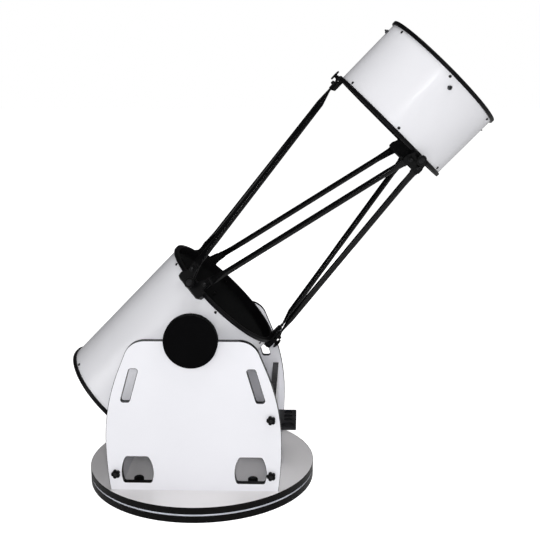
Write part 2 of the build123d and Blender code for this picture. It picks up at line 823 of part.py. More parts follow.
with BuildPart() as mirror_cell:
    with BuildSketch(across(cell_front - cell_rim)):
        Circle(cell_outer)
        Circle(cell_outer - 12, mode=Mode.SUBTRACT)
    extrude(amount=cell_rim)
    with BuildSketch(across(cell_front - cell_rim)):
        Circle(fan_plate + 16)
        for angle in collimation_angles:
            with Locations(Location((0, 0, 0), (0, 0, angle))):
                with Locations(((cell_outer - 4) / 2, 0)):
                    Rectangle(cell_outer - 4, spoke_width)
        with PolarLocations(collimation_radius, 3, start_angle=90):
            Circle(24)
        Circle(fan_opening, mode=Mode.SUBTRACT)
        with PolarLocations(collimation_radius, 3, start_angle=90):
            Circle(collimation_stud + running, mode=Mode.SUBTRACT)
    extrude(amount=cell_plate)
    with BuildSketch(*ring_screw_planes(lower_rear, 1)):
        Circle(screw_hole_radius)
    extrude(amount=-22, mode=Mode.SUBTRACT)

with BuildSketch() as tray_shape:
    RegularPolygon(radius=mirror_radius + 60, side_count=3, rotation=90)
    fillet(tray_shape.vertices(), 70)
    Circle(fan_plate, mode=Mode.SUBTRACT)

pad_circle = 125.0
with BuildPart() as mirror_tray:
    with BuildSketch(across(tray_back)):
        add(tray_shape.sketch)
        with PolarLocations(collimation_radius, 3, start_angle=90):
            Circle(collimation_stud + running, mode=Mode.SUBTRACT)
    extrude(amount=tray_thickness)
    with BuildSketch(across(tray_front)):
        with PolarLocations(pad_circle, 3, start_angle=30):
            Circle(14)
    extrude(amount=tray_pad)

bowl = mirror_radius**2 / (2 * mirror_curve)
curve_center = tube_plane.origin + tube_dir * (mirror_face - bowl + mirror_curve)
with BuildPart() as primary_mirror:
    with BuildSketch(across(mirror_back)):
        Circle(mirror_radius)
    extrude(amount=mirror_thickness)
    chamfer(primary_mirror.edges().filter_by(GeomType.CIRCLE), 1.5)
    with Locations(curve_center):
        Sphere(mirror_curve, mode=Mode.SUBTRACT)

clip_post = 10.0
clip_outline = [
    (tray_front, mirror_radius + 1), (mirror_face + 1, mirror_radius + 1),
    (mirror_face + 1, mirror_radius - 6), (mirror_face + 4, mirror_radius - 6),
    (mirror_face + 4, mirror_radius + 4), (mirror_back + 4, mirror_radius + 4),
    (tray_back + 12, mirror_radius + clip_post), (tray_front, mirror_radius + clip_post),
]
with BuildSketch() as clip_face:
    with BuildLine():
        Polyline(*clip_outline, close=True)
    make_face()
with BuildPart() as mirror_clips:
    for angle in collimation_angles:
        web = Plane(tube_plane.origin, x_dir=tube_dir, z_dir=tube_dir.cross(outward(angle)))
        with BuildSketch(web):
            add(clip_face.sketch)
        extrude(amount=9, both=True)

spring_wire = 1.7            # width of the square wire
spring_end = 1.2             # from a coil's middle to the plate it presses on
spring_radius = 8.0
spring_back = cell_front - cell_rim + cell_plate + spring_end
spring_front = tray_back - spring_end
spring_parts = []
for angle in collimation_angles:
    spring_foot = tube_point(spring_back, angle, collimation_radius)
    with BuildPart() as spring:
        with BuildLine():
            coil = Helix(
                pitch=(spring_front - spring_back) / 4, height=spring_front - spring_back,
                radius=spring_radius, center=tuple(spring_foot), direction=tuple(tube_dir),
            )
        with BuildSketch(Plane(coil @ 0, z_dir=coil % 0)):
            Rectangle(spring_wire, spring_wire)
        sweep(is_frenet=True)
    spring_parts.append(spring.part)
with BuildPart() as collimation_springs:
    add(spring_parts)

knob_seat = cell_front - cell_rim - touch
collimation_outline = [
    (0, -(cell_rim + 16)), (collimation_stud, -(cell_rim + 16)), (collimation_stud, 0), (9, 0), (9, 2),
    (15, 3), (16, 5), (16, 15), (14, 17), (0, 17),
]
collimation_knobs = []
for angle in collimation_angles:
    seat_point = tube_point(knob_seat, angle, collimation_radius)
    seat = Plane(seat_point, x_dir=outward(angle), z_dir=-tube_dir)
    knob_solid = turned(seat, collimation_outline)
    with BuildPart() as collimation_knob:
        add(knob_solid)
        with BuildSketch(seat.offset(3)):
            with PolarLocations(17, 10):
                Circle(2)
        extrude(amount=15, mode=Mode.SUBTRACT)
    collimation_knobs.append(collimation_knob)

# --------------------------------------------------------------------- cooling fan
fan_side = 92.0
fan_depth = 25.0
fan_front = cell_front - cell_rim - touch
fan_pin = 2.0
rotor_hub = 19.0
blade_tip = 43.0
fan_bore = 44.5
stator_depth = 4.0

with BuildPart() as fan_frame:
    with BuildSketch(across(fan_front)):
        RectangleRounded(fan_side, fan_side, 5)
        Circle(fan_bore, mode=Mode.SUBTRACT)
        with GridLocations(82.5, 82.5, 2, 2):
            Circle(2.2, mode=Mode.SUBTRACT)
    extrude(amount=-fan_depth)
    with BuildSketch(across(fan_front - fan_depth)):
        Circle(rotor_hub)
        with PolarLocations(fan_bore / 2 + 1, 4, start_angle=45):
            Rectangle(fan_bore, 5)
    extrude(amount=stator_depth)
    with BuildSketch(across(fan_front - fan_depth)):
        Circle(fan_pin)
    extrude(amount=fan_depth - 4)

rotor_back = fan_front - fan_depth + stator_depth + 0.5
rotor_depth = 17.0
with BuildPart() as fan_rotor:
    with BuildSketch(across(rotor_back)):
        Circle(rotor_hub)
    extrude(amount=rotor_depth)
    fillet(fan_rotor.edges().filter_by(GeomType.CIRCLE).sort_by(tube_axis)[-1], 2)
    for turn in range(7):
        blade_angle = turn * 360 / 7
        root = tube_point(rotor_back + rotor_depth / 2, blade_angle, rotor_hub - 1)
        pitch_dir = (tube_dir + tube_dir.cross(outward(blade_angle)) * 1.1).normalized()
        with BuildSketch(Plane(root, x_dir=pitch_dir, z_dir=outward(blade_angle))):
            SlotOverall(20, 1.6)
        extrude(amount=blade_tip - rotor_hub)
    with BuildSketch(across(rotor_back)):
        Circle(fan_pin + running)
    extrude(amount=rotor_depth - 0.5, mode=Mode.SUBTRACT)

# ---------------------------------------------------------- spider and secondary
vane_width = 30.0
vane_thickness = 1.2
hub_size = 20.0
nut_radius = 8.0
vane_end = tube_radius - tube_wall - 2

with BuildPart() as spider:
    with BuildSketch(across(spider_along - vane_width / 2)):
        Circle(hub_size)
        with PolarLocations(vane_end / 2, 4, start_angle=spider_start):
            Rectangle(vane_end, vane_thickness)
        with PolarLocations(vane_end - 4, 4, start_angle=spider_start):
            Rectangle(8, 8)
        with PolarLocations(12, 3):
            Circle(1.6, mode=Mode.SUBTRACT)
    extrude(amount=vane_width)
    with BuildSketch(*[side_plane(spider_along, angle, vane_end - 1) for angle in spider_angles]):
        Circle(screw_radius)
    extrude(amount=tube_radius + 14 - vane_end)

nut_outline = [
    (screw_radius + running, 0), (nut_radius, 0), (nut_radius, 5), (nut_radius - 1, 6), (5, 6.5), (5, 9),
    (screw_radius + running, 9),
]
spider_nut_parts = []
for angle in spider_angles:
    seat = side_plane(spider_along, angle, tube_radius + touch)
    spider_nut_parts.append(turned(seat, nut_outline))
with BuildPart() as spider_nuts:
    add(spider_nut_parts)

light_in = -tube_dir
light_out = outward(focuser_angle)
light_axis = Axis(tube_plane.origin, light_out)
secondary_facing = (light_in + light_out).normalized()
secondary_center = tube_plane.origin + tube_dir * secondary_along
mirror_cut = Plane(secondary_center, z_dir=secondary_facing)
secondary_thickness = 11.0
back_cut = Plane(secondary_center - secondary_facing * secondary_thickness, z_dir=secondary_facing)
holder_gap = secondary_thickness + touch
holder_cut = Plane(secondary_center - secondary_facing * holder_gap, z_dir=secondary_facing)
holder_top = spider_along - vane_width / 2 - 6

with BuildPart() as secondary_mirror:
    with BuildSketch(across(secondary_along - 2 * secondary_radius)):
        Circle(secondary_radius)
    extrude(amount=4 * secondary_radius)
    split(bisect_by=mirror_cut, keep=Keep.BOTTOM)
    split(bisect_by=back_cut, keep=Keep.TOP)

with BuildPart() as secondary_holder:
    with BuildSketch(across(secondary_along - 2 * secondary_radius)):
        Circle(secondary_radius - 1)
    extrude(amount=holder_top - secondary_along + 2 * secondary_radius)
    split(bisect_by=holder_cut, keep=Keep.BOTTOM)
    with BuildSketch(across(holder_top)):
        with PolarLocations(12, 3):
            Circle(1.5)
    extrude(amount=vane_width + 14)

# ------------------------------------------------------------------------- focuser
saddle_half_long = 54.0
saddle_half_wide = 44.0
saddle_outer = tube_radius + 14.0
body_radius = 38.0
body_outer = 292.0
draw_outer_radius = 29.0
draw_inner_radius = 25.5
draw_inner_end = 224.0
draw_outer_end = 318.0
shaft_radius = 3.0
shaft_height = 274.0
shaft_aside = draw_outer_radius + shaft_radius + running
housing_half = 38.0
coarse_radius = 20.0
coarse_width = 13.0
fine_radius = 12.0
fine_width = 10.0
focuser_base = side_plane(secondary_along, focuser_angle, 0)


def focuser_level(radius):
    return focuser_base.offset(radius)


with BuildPart() as focuser_body:
    with BuildSketch(focuser_level(tube_radius - 16)):
        RectangleRounded(2 * saddle_half_long, 2 * saddle_half_wide, 12)
    extrude(amount=saddle_outer - tube_radius + 16)
    with BuildSketch(across(secondary_along - 2 * saddle_half_long)):
        Circle(tube_radius + touch)
    extrude(amount=4 * saddle_half_long, mode=Mode.SUBTRACT)
    with BuildSketch(focuser_level(tube_radius + 5)):
        Circle(body_radius)
    extrude(amount=body_outer - tube_radius - 5)
    chamfer(focuser_body.edges().filter_by(GeomType.CIRCLE).sort_by(light_axis)[-1], 2)
    with BuildSketch(focuser_level(shaft_height - 11)):
        with Locations((0, shaft_aside - 1)):
            RectangleRounded(2 * housing_half, 18, 4)
    extrude(amount=22)
    with BuildSketch(focuser_level(tube_radius - 20)):
        Circle(draw_outer_radius + running)
    extrude(amount=body_outer, mode=Mode.SUBTRACT)
    shaft_bore = Plane(
        focuser_base.from_local_coords(Vector(-2 * housing_half, shaft_aside, shaft_height)),
        x_dir=light_out, z_dir=tube_dir,
    )
    with BuildSketch(shaft_bore):
        Circle(shaft_radius + running)
    extrude(amount=4 * housing_half, mode=Mode.SUBTRACT)

with BuildPart() as focus_drawtube:
    with BuildSketch(focuser_level(draw_inner_end)):
        Circle(draw_outer_radius)
    extrude(amount=draw_outer_end - draw_inner_end)
    with BuildSketch(focuser_level(draw_outer_end - 18)):
        Circle(draw_outer_radius + 4)
    extrude(amount=18)
    chamfer(focus_drawtube.edges().filter_by(GeomType.CIRCLE).sort_by(light_axis)[-1], 1.5)
    with BuildSketch(focuser_level(draw_inner_end)):
        Circle(draw_inner_radius)
    extrude(amount=draw_outer_end - draw_inner_end, mode=Mode.SUBTRACT)

shaft_middle = focuser_base.from_local_coords(Vector(0, shaft_aside, shaft_height))
coarse_gap = housing_half + 2
coarse_start = Plane(shaft_middle - tube_dir * coarse_gap, x_dir=light_out, z_dir=-tube_dir)
coarse_other = Plane(shaft_middle + tube_dir * coarse_gap, x_dir=light_out, z_dir=tube_dir)
fine_seat = coarse_other.offset(coarse_width + touch)
fine_stud = 1.5

with BuildPart() as focus_shaft:
    with BuildSketch(coarse_start):
        Circle(shaft_radius)
    extrude(amount=-2 * coarse_gap)
    for seat in (coarse_start, coarse_other):
        with BuildSketch(seat):
            Circle(coarse_radius)
            with PolarLocations(coarse_radius + 1, 16):
                Circle(2, mode=Mode.SUBTRACT)
        extrude(amount=coarse_width)
    with BuildSketch(coarse_other.offset(coarse_width)):
        Circle(fine_stud + running)
    extrude(amount=-8, mode=Mode.SUBTRACT)

with BuildPart() as fine_focus_knob:
    with BuildSketch(fine_seat):
        Circle(fine_radius)
        with PolarLocations(fine_radius + 0.8, 12):
            Circle(1.6, mode=Mode.SUBTRACT)
    extrude(amount=fine_width)
    with BuildSketch(fine_seat):
        Circle(fine_stud)
    extrude(amount=-7)

# -------------------------------------------------------------------------- finder
finder_angle = 45.0
finder_along = 1120.0
finder_base = side_plane(finder_along, finder_angle, tube_radius)
finder_window_radius = 15.0
finder_length = 76.0

with BuildPart() as finder:
    with BuildSketch(finder_base.offset(-6)):
        RectangleRounded(58, 26, 4)
    extrude(amount=22)
    with BuildSketch(across(finder_along - finder_length)):
        Circle(tube_radius + touch)
    extrude(amount=2 * finder_length, mode=Mode.SUBTRACT)
    with BuildSketch(finder_base.offset(16)):
        RectangleRounded(finder_length, 20, 5)
    extrude(amount=14)
    hoop_plane = Plane(
        finder_base.from_local_coords(Vector(finder_length / 2 - 4, 0, 47)),
        x_dir=outward(finder_angle), z_dir=-tube_dir,
    )
    with BuildSketch(hoop_plane):
        Circle(finder_window_radius + 3.5)
        with Locations((-14, 0)):
            Rectangle(24, 16)
        Circle(finder_window_radius, mode=Mode.SUBTRACT)
    extrude(amount=8)

with BuildPart() as finder_window:
    with BuildSketch(hoop_plane.offset(3)):
        Circle(finder_window_radius - running)
    extrude(amount=2)

# -------------------------------------------------------------------------- export
pieces = {
    "ground_board": ground_board,
    "ground_board_edge": ground_board_edge,
    "feet": feet,
    "pivot_bolt": pivot_bolt,
    "pivot_nut": pivot_nut,
    "lower_race": lower_race,
    "roller_cage": roller_cage,
    "rollers": rollers,
    "upper_race": upper_race,
    "turntable_board": turntable_board,
    "side_board_right": side_board_right,
    "side_board_left": side_board_left,
    "front_board": front_board,
    "rear_stretcher": rear_stretcher,
    "board_edge_bands": board_edge_bands,
    "base_brackets": base_brackets,
    "base_screws": base_screws,
    "bracket_knobs": bracket_knobs,
    "side_knobs": side_knobs,
    "cradle_pads": cradle_pads,
    "eyepiece_rack": eyepiece_rack,
    "trunnion_left": trunnion_left,
    "trunnion_right": trunnion_right,
    "lower_tube": lower_tube,
    "lower_tube_rear_ring": lower_tube_rear_ring,
    "lower_tube_front_ring": lower_tube_front_ring,
    "upper_tube": upper_tube,
    "upper_tube_rear_ring": upper_tube_rear_ring,
    "upper_tube_front_ring": upper_tube_front_ring,
    "tube_screws": tube_screws,
    "truss_brackets": truss_brackets,
    "truss_poles": truss_poles,
    "pole_bolts": pole_bolts,
    "mirror_cell": mirror_cell,
    "mirror_tray": mirror_tray,
    "primary_mirror": primary_mirror,
    "mirror_clips": mirror_clips,
    "collimation_springs": collimation_springs,
    "fan_frame": fan_frame,
    "fan_rotor": fan_rotor,
    "spider": spider,
    "spider_nuts": spider_nuts,
    "secondary_holder": secondary_holder,
    "secondary_mirror": secondary_mirror,
    "focuser_body": focuser_body,
    "focus_drawtube": focus_drawtube,
    "focus_shaft": focus_shaft,
    "fine_focus_knob": fine_focus_knob,
    "finder": finder,
    "finder_window": finder_window,
}
for count, collimation_knob in enumerate(collimation_knobs, start=1):
    pieces[f"collimation_knob_{count}"] = collimation_knob
for count, truss_knob in enumerate(truss_knobs, start=1):
    pieces[f"truss_knob_{count}"] = truss_knob

os.makedirs("parts", exist_ok=True)
for name, piece in pieces.items():
    piece.part.label = name
    export_step(piece.part, f"parts/{name}.step")
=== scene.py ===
import json
import math

import bmesh
import bpy
from mathutils import Matrix, Vector


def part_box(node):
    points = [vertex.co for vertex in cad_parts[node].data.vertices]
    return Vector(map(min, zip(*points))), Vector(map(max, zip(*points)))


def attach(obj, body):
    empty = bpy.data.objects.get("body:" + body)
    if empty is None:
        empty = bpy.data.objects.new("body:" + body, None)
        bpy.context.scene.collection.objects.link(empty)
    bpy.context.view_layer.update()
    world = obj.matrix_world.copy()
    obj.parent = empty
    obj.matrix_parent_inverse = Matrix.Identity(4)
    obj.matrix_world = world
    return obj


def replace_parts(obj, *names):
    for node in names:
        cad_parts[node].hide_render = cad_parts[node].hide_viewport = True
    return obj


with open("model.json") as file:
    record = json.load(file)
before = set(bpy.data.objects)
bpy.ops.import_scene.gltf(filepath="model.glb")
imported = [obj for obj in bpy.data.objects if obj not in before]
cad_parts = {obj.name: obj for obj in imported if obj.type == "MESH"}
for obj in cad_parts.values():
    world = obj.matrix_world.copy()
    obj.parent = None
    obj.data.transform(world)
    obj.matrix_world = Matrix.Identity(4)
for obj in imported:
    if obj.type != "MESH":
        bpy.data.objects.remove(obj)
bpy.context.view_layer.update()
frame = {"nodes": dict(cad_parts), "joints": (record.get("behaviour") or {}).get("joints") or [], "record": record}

# Looks of the truss-tube telescope. Metres, in the CAD's own frame: the tube points towards +X and up,
# "right" is the -Y side that the camera looks at, and the altitude axis runs along Y.

# ------------------------------------------------------------------------------------ places from the frame
joints = {joint["name"]: joint for joint in frame["joints"]}
altitude = Vector(joints["altitude_tilt"]["pos_m"])
tube_dir = -Vector(joints["focus_turn"]["axis"]).normalized()
leftward = Vector((0, 1, 0))
tube_up = tube_dir.cross(leftward)
upward = Vector((0, 0, 1))
MM = 0.001
tube_outer = 239.0           # just outside the rolled tubes, mm from their axis
tube_wall_middle = 237.0     # between the tubes' painted outside and their black inside
seam_angle = 300.0           # where the lap seams of the tubes lie, on the lower left


# --------------------------------------------------------------------------------------------- shader tools
def srgb(red, green, blue):
    """A screen colour, 0 to 255, as the linear colour that a shader takes."""
    channels = []
    for value in (red, green, blue):
        share = value / 255
        linear = share / 12.92 if share <= 0.04045 else ((share + 0.055) / 1.055) ** 2.4
        channels.append(linear)
    return tuple(channels)


class Surface:
    """A procedural material: one Principled shader and the nodes that drive it, in metres."""

    def __init__(self, name, colour, roughness, metallic=0.0, specular=0.5):
        self.material = bpy.data.materials.new(name)
        self.material.use_nodes = True
        self.tree = self.material.node_tree
        self.shader = self.tree.nodes["Principled BSDF"]
        self.place = self.node("ShaderNodeTexCoord").outputs["Object"]
        self.colour = colour
        self.shader.inputs["Base Color"].default_value = (*colour, 1)
        self.shader.inputs["Roughness"].default_value = roughness
        self.shader.inputs["Metallic"].default_value = metallic
        self.shader.inputs["Specular IOR Level"].default_value = specular
        self.normal = None

    def node(self, kind, **settings):
        """Adds a shader node with its settings."""
        made = self.tree.nodes.new(kind)
        for key, value in settings.items():
            setattr(made, key, value)
        return made

    def feed(self, socket, value):
        """Links a socket to another socket, or gives it a plain value."""
        if isinstance(value, bpy.types.NodeSocket):
            self.tree.links.new(value, socket)
        else:
            socket.default_value = value

    def set(self, **values):
        """Feeds inputs of the shader, named with _ for a space."""
        for key, value in values.items():
            self.feed(self.shader.inputs[key.replace("_", " ")], value)

    def math(self, operation, first, second=0.0):
        """One sum on numbers."""
        made = self.node("ShaderNodeMath", operation=operation)
        self.feed(made.inputs[0], first)
        self.feed(made.inputs[1], second)
        return made.outputs[0]

    def vector(self, operation, first, second=(0, 0, 0)):
        """One sum on vectors; a length or a dot product gives a number."""
        made = self.node("ShaderNodeVectorMath", operation=operation)
        self.feed(made.inputs[0], first)
        self.feed(made.inputs[1], second)
        return made.outputs["Value"] if operation in ("LENGTH", "DOT_PRODUCT") else made.outputs["Vector"]

    def noise(self, scale, detail=2.0, stretch=(1, 1, 1)):
        """Soft noise from 0 to 1 with about `scale` patches to the metre."""
        made = self.node("ShaderNodeTexNoise")
        self.feed(made.inputs["Vector"], self.vector("MULTIPLY", self.place, stretch))
        made.inputs["Scale"].default_value = scale
        made.inputs["Detail"].default_value = detail
        return made.outputs["Fac"]

    def spread(self, value, low, high, to_low=0.0, to_high=1.0):
        """Maps low..high to to_low..to_high, clamped."""
        made = self.node("ShaderNodeMapRange")
        for slot, number in enumerate((value, low, high, to_low, to_high)):
            self.feed(made.inputs[slot], number)
        return made.outputs[0]

    def mix(self, share, first, second):
        """A colour between two colours: the first where share is 0, the second where it is 1."""
        made = self.node("ShaderNodeMix", data_type="RGBA")
        self.feed(made.inputs["Factor"], share)
        first_colour, second_colour, result = 6, 7, 2          # the node's sockets for colours
        for slot, colour in ((first_colour, first), (second_colour, second)):
            value = colour if isinstance(colour, bpy.types.NodeSocket) else (*colour, 1)
            self.feed(made.inputs[slot], value)
        return made.outputs[result]

    def paint(self, colour):
        """Makes a colour socket the surface's colour."""
        self.feed(self.shader.inputs["Base Color"], colour)

    def bump(self, height, depth, strength=1.0):
        """Raises the surface by up to `depth` metres where height is 1."""
        made = self.node("ShaderNodeBump")
        made.inputs["Strength"].default_value = strength
        made.inputs["Distance"].default_value = depth
        self.feed(made.inputs["Height"], height)
        if self.normal:
            self.feed(made.inputs["Normal"], self.normal)
        self.normal = made.outputs["Normal"]
        self.feed(self.shader.inputs["Normal"], self.normal)

    def rounded(self, radius):
        """Shades sharp edges as if rounded by radius, and returns a mask that is 1 near an edge."""
        bevel = self.node("ShaderNodeBevel", samples=4)
        flat_within, edge_from = 0.98, 0.8
        bevel.inputs["Radius"].default_value = radius
        self.normal = bevel.outputs["Normal"]
        self.feed(self.shader.inputs["Normal"], self.normal)
        flat = self.node("ShaderNodeNewGeometry").outputs["Normal"]
        turn = self.vector("DOT_PRODUCT", self.normal, flat)
        return self.spread(turn, flat_within, edge_from)

    def facing(self, axis):
        """How square the surface lies to an axis at rest: 1 for the flat faces of a board."""
        normal = self.node("ShaderNodeTexCoord").outputs["Normal"]
        return self.math("ABSOLUTE", self.vector("DOT_PRODUCT", normal, axis))

    def uneven(self, amount, scale, roughness, spread=0.06):
        """Slow changes of shade and gloss, as on any real surface. Returns the shaded colour."""
        patches = self.noise(scale, 3)
        dark = tuple(channel * (1 - amount) for channel in self.colour)
        light = tuple(min(1.0, channel * (1 + amount)) for channel in self.colour)
        shade = self.mix(self.spread(patches, 0.3, 0.7), dark, light)
        self.paint(shade)
        self.set(Roughness=self.spread(patches, 0.3, 0.7, roughness - spread, roughness + spread))
        return shade


# ------------------------------------------------------------------------------------------------ materials
def laminate(name, colour, roughness, face_axis):
    """Melamine-faced particle board: the faces square to face_axis are laminate, cut edges show the core."""
    surface = Surface(name, colour, roughness)
    face = surface.uneven(0.012, 4, roughness, 0.01)
    chips = surface.noise(420, 3)
    core = surface.mix(surface.spread(chips, 0.35, 0.7), srgb(150, 118, 84), srgb(205, 180, 142))
    surface.paint(surface.mix(surface.spread(surface.facing(face_axis), 0.5, 0.6), core, face))
    surface.bump(surface.noise(900, 2), 0.03 * MM, 0.35)
    return surface.material


def edging():
    """Glossy black edging strip."""
    surface = Surface("edging_black", srgb(6, 5, 5), 0.28, specular=0.15)
    surface.uneven(0.25, 12, 0.3)
    surface.bump(surface.noise(260, 2, (1, 1, 4)), 0.02 * MM, 0.4)
    return surface.material


def painted_tube():
    """Rolled steel tube: gloss white outside, flat black inside."""
    surface = Surface("tube_white", srgb(226, 226, 230), 0.3)
    from_axis = surface.vector("SUBTRACT", surface.place, tuple(altitude))
    along = surface.vector("DOT_PRODUCT", from_axis, tuple(tube_dir))
    distance = surface.math("SQRT", surface.math(
        "SUBTRACT",
        surface.math("POWER", surface.vector("LENGTH", from_axis), 2.0),
        surface.math("POWER", along, 2.0),
    ))
    inner = (tube_wall_middle - 0.3) * MM
    outer = (tube_wall_middle + 0.3) * MM
    outside = surface.spread(distance, inner, outer)
    white = surface.uneven(0.008, 4, 0.3, 0.01)
    inner_gloss = surface.spread(surface.noise(30, 2), 0.3, 0.7, 0.85, 0.95)
    gloss = surface.spread(surface.noise(3, 1), 0.2, 0.8, 0.27, 0.30)
    surface.paint(surface.mix(outside, srgb(13, 13, 14), white))
    surface.set(
        Roughness=surface.spread(outside, 0, 1, inner_gloss, gloss),
        Coat_Weight=surface.math("MULTIPLY", outside, 0.1),
        Coat_Roughness=0.12,
    )
    surface.bump(surface.noise(220, 2), 0.03 * MM, 0.25)
    return surface.material


def moulded(name, colour, roughness, grain, depth, specular=0.5, edge=0.0):
    """Moulded plastic or powder-coated metal with fine grain, uneven gloss and rubbed edges."""
    surface = Surface(name, colour, roughness, specular=specular)
    shade = surface.uneven(0.18, 18, roughness)
    if edge:
        rubbed = surface.rounded(edge)
        worn = surface.math("MULTIPLY", rubbed, surface.spread(surface.noise(90, 3), 0.4, 0.65))
        lighter = tuple(channel * 2.2 + 0.01 for channel in colour)
        surface.paint(surface.mix(surface.math("MULTIPLY", worn, 0.6), shade, lighter))
    surface.bump(surface.noise(grain, 3), depth)
    return surface.material


def metal(name, colour, roughness, streak):
    """Bare or plated metal with fine marks drawn out along the vector `streak`."""
    surface = Surface(name, colour, roughness, metallic=1.0)
    stretch = tuple(1 - 0.94 * abs(part) for part in streak)
    marks = surface.noise(1200, 3, stretch)
    surface.uneven(0.08, 25, roughness)
    surface.set(Roughness=surface.spread(marks, 0.3, 0.7, roughness * 0.75, roughness * 1.35))
    surface.bump(marks, 0.02 * MM, 0.5)
    return surface.material


def mirror():
    """Aluminised glass: nearly perfect, with the faintest dust and drying marks."""
    coating = (0.93, 0.94, 0.95)
    dusty = (0.72, 0.74, 0.76)
    surface = Surface("mirror_coating", coating, 0.02, metallic=1.0)
    dust = surface.spread(surface.noise(60, 4), 0.55, 0.75)
    surface.paint(surface.mix(surface.math("MULTIPLY", dust, 0.12), coating, dusty))
    surface.set(Roughness=surface.spread(dust, 0, 1, 0.015, 0.09))
    return surface.material


def window():
    """Coated glass of the red-dot finder."""
    surface = Surface("window_glass", (0.75, 0.85, 0.9), 0.03)
    surface.set(Transmission_Weight=0.9, IOR=1.45)
    surface.set(Roughness=surface.spread(surface.noise(150, 2), 0.4, 0.7, 0.01, 0.06))
    return surface.material


no_streak = (0, 0, 0)
upright_streak = (0, 0, 1)
board_white = srgb(233, 233, 238)
board_gloss = 0.42
materials = {
    "laminate_white": laminate("laminate_white", board_white, board_gloss, (0, 1, 0)),
    "laminate_grey": laminate("laminate_grey", srgb(228, 226, 227), 0.34, (0, 0, 1)),
    "edging_black": edging(),
    "tube_white": painted_tube(),
    "ring_black": moulded("ring_black", srgb(8, 7, 9), 0.4, 900, 0.01 * MM, 0.22, 1.2 * MM),
    "casting_black": moulded("casting_black", srgb(7, 7, 8), 0.42, 1100, 0.015 * MM, 0.2, 1.0 * MM),
    "pole_black": moulded("pole_black", srgb(5, 5, 6), 0.22, 60, 0.0005 * MM, 0.35),
    "knob_black": moulded("knob_black", srgb(8, 8, 9), 0.4, 1200, 0.01 * MM, 0.2, 0.8 * MM),
    "bearing_black": moulded("bearing_black", srgb(6, 6, 7), 0.75, 700, 0.06 * MM, 0.06),
    "pad_white": moulded("pad_white", srgb(228, 227, 222), 0.45, 300, 0.03 * MM, edge=0.8 * MM),
    "cage_white": moulded("cage_white", srgb(214, 218, 228), 0.4, 300, 0.03 * MM),
    "steel_zinc": metal("steel_zinc", (0.62, 0.62, 0.63), 0.3, upright_streak),
    "steel_black": metal("steel_black", (0.05, 0.05, 0.052), 0.38, upright_streak),
    "chrome_nut": metal("chrome_nut", (0.16, 0.165, 0.175), 0.32, no_streak),
    "foot_rubber": moulded("foot_rubber", srgb(28, 28, 29), 0.8, 600, 0.1 * MM, 0.3),
    "rack_grey": moulded("rack_grey", srgb(34, 34, 36), 0.5, 1000, 0.02 * MM, 0.25, 0.8 * MM),
    "bracket_steel": moulded("bracket_steel", srgb(26, 26, 28), 0.42, 900, 0.04 * MM, edge=0.8 * MM),
    "cell_black": moulded("cell_black", srgb(22, 22, 23), 0.5, 900, 0.05 * MM, edge=1.0 * MM),
    "mirror_coating": mirror(),
    "fan_black": moulded("fan_black", srgb(22, 22, 24), 0.38, 900, 0.02 * MM, edge=0.6 * MM),
    "focuser_black": moulded("focuser_black", srgb(19, 19, 21), 0.36, 1300, 0.02 * MM, edge=0.8 * MM),
    "drawtube_chrome": metal("drawtube_chrome", (0.7, 0.71, 0.72), 0.14, no_streak),
    "focus_knob": moulded("focus_knob", srgb(22, 22, 23), 0.5, 700, 0.08 * MM, edge=0.6 * MM),
    "fine_knob": metal("fine_knob", (0.55, 0.42, 0.2), 0.3, no_streak),
    "finder_black": moulded("finder_black", srgb(21, 21, 22), 0.45, 1000, 0.05 * MM, edge=0.8 * MM),
    "window_glass": window(),
}
cap_metal = metal("cap_metal", (0.06, 0.06, 0.063), 0.5, no_streak)
board_faces = {
    "front_board": (1, 0, 0),
    "rear_stretcher": (1, 0, 0),
    "ground_board": (0, 0, 1),
}


def finish_cad_nodes():
    """Gives each CAD node the material of its slot, with the boards' faces turned to their own axis."""
    for node in frame["nodes"].values():
        for holder in node.material_slots:
            holder.material = materials[holder.material.name.split(".")[0]]
    for node, axis in board_faces.items():
        board = laminate("laminate_" + node, board_white, board_gloss, axis)
        frame["nodes"][node].material_slots[0].material = board


finish_cad_nodes()


# ------------------------------------------------------------------------------------- shapes made of rings
def hexagon(angle):
    """Outline of a hexagon, as a share of the radius to its corners."""
    half = math.pi / 6
    return math.cos(half) / math.cos(angle % (2 * half) - half)


def lobes(count, depth, start=0.0):
    """Outline with rounded lobes and narrow valleys that are `depth` of the radius deep."""
    def outline(angle):
        return 1 - depth * (1 - math.sqrt(abs(math.cos(count * (angle - start) / 2))))
    return outline


